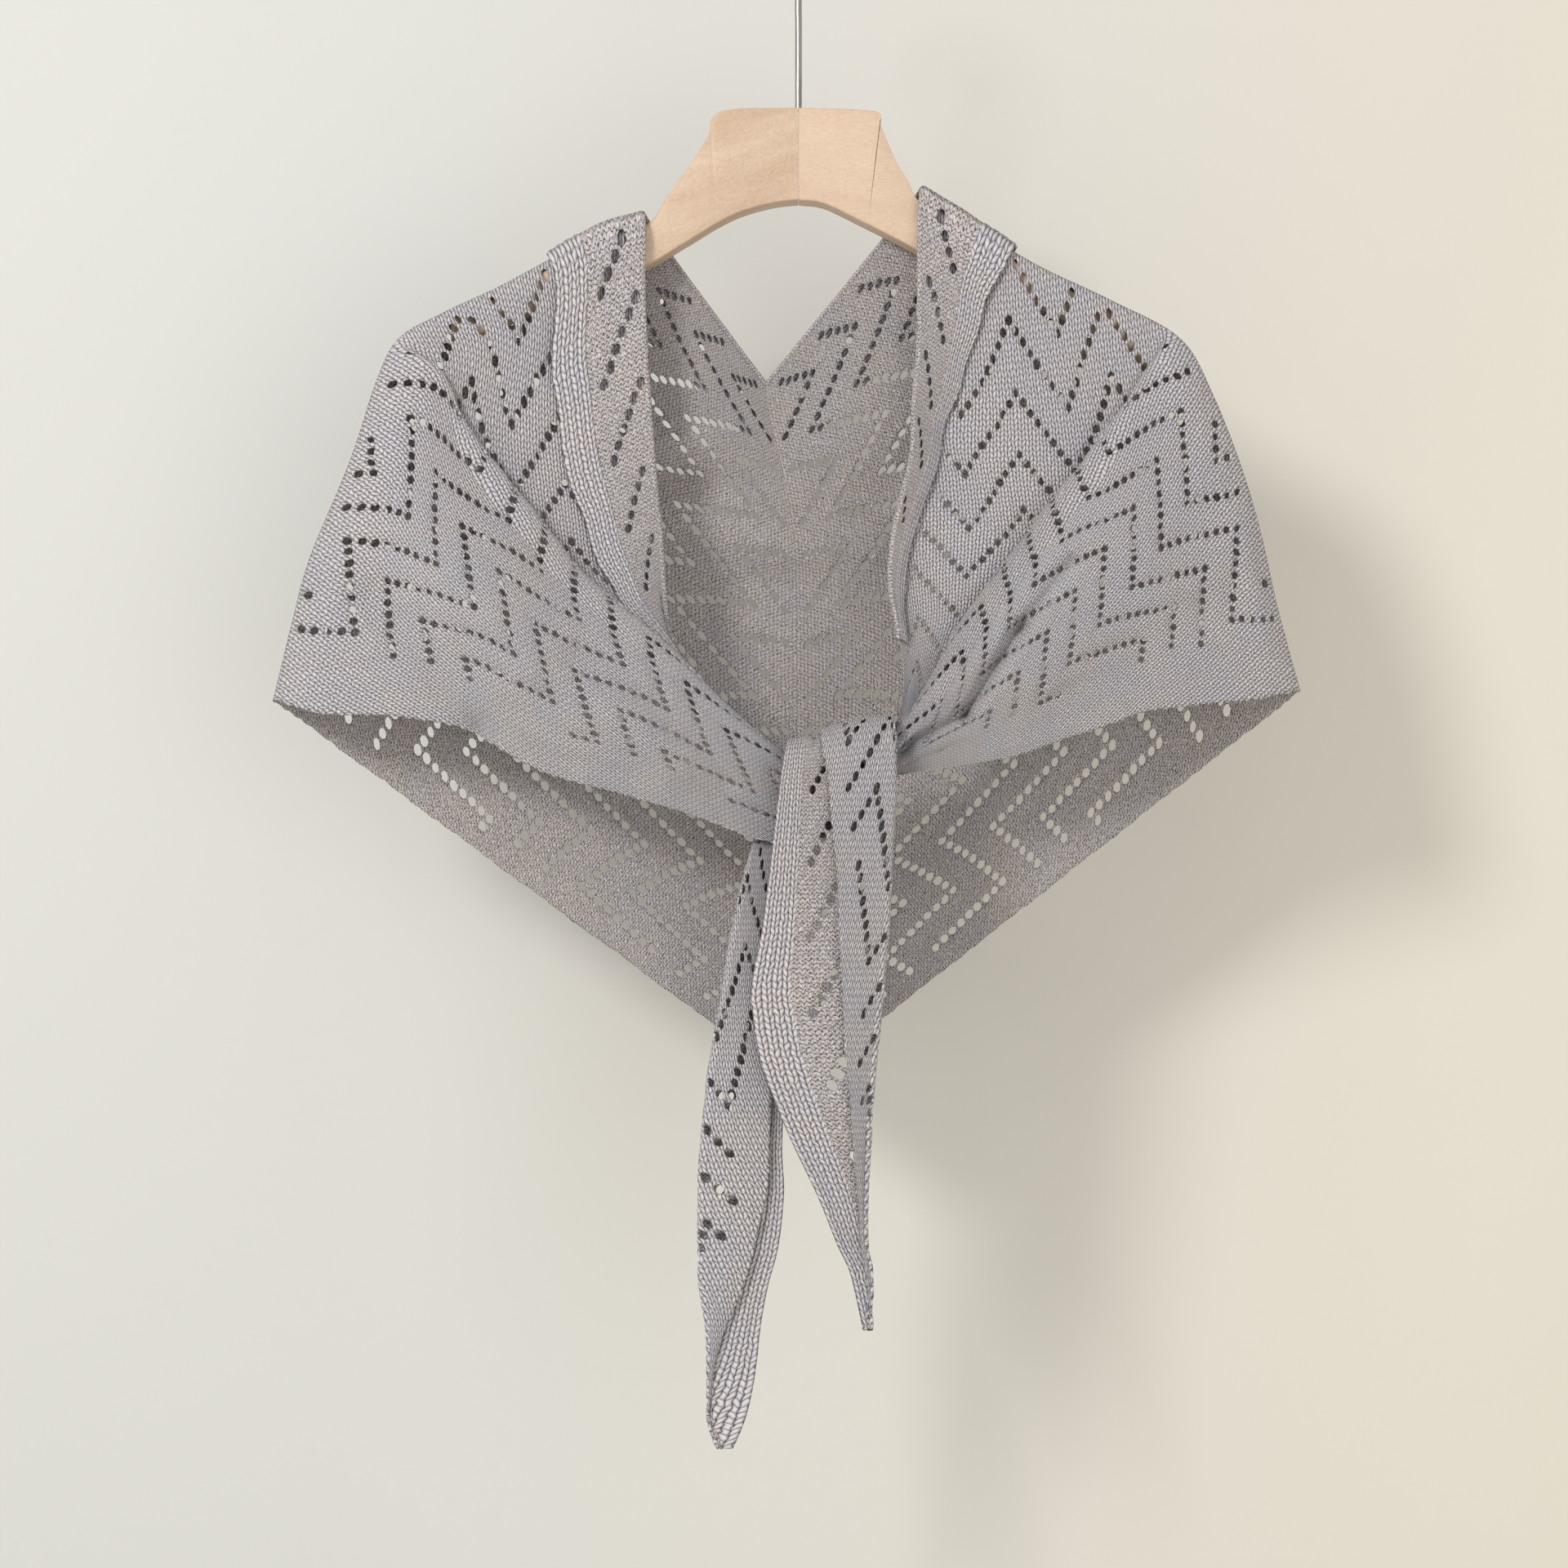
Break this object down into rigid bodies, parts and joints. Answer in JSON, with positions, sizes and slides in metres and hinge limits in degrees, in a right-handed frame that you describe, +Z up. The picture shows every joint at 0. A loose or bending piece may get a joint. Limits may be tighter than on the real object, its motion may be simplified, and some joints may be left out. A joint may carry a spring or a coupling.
{
  "type": "triangle shawl garment on a hanger",
  "caption": "Hand-knitted lace triangle shawl with a ribbed turned-back neck edge, its ends tied in front, kept on a wooden hanger with a steel hook.",
  "frame": {"origin": "inside top of the hanger's hook, where a rod carries it", "axes": "+Z up, -Y out of the front towards the viewer, +X to the viewer's right"},
  "size_m": [0.5573, 0.123, 0.848],
  "materials": {
    "back": "knitted lace",
    "collar_back": "knitted ribs",
    "front_left": "knitted lace",
    "front_right": "knitted lace",
    "collar_left": "knitted ribs",
    "collar_right": "knitted ribs",
    "knot_wrap": "knitted lace",
    "knot_core": "knitted",
    "tail_left": "knitted lace",
    "tail_right": "knitted lace",
    "hanger_left": "smooth, unvarnished",
    "hanger_right": "smooth, unvarnished",
    "hook_wire": "satin"
  },
  "bodies": {
    "root": {"back": "back", "collar_back": "collar_back", "front_left": "front_left", "front_right": "front_right", "collar_left": "collar_left", "collar_right": "collar_right", "knot_wrap": "knot_wrap", "knot_core": "knot_core", "tail_left": "tail_left", "tail_right": "tail_right", "hanger_left": "hanger_left", "hanger_right": "hanger_right", "hook_wire": "hook_wire"}
  },
  "joints": []
}
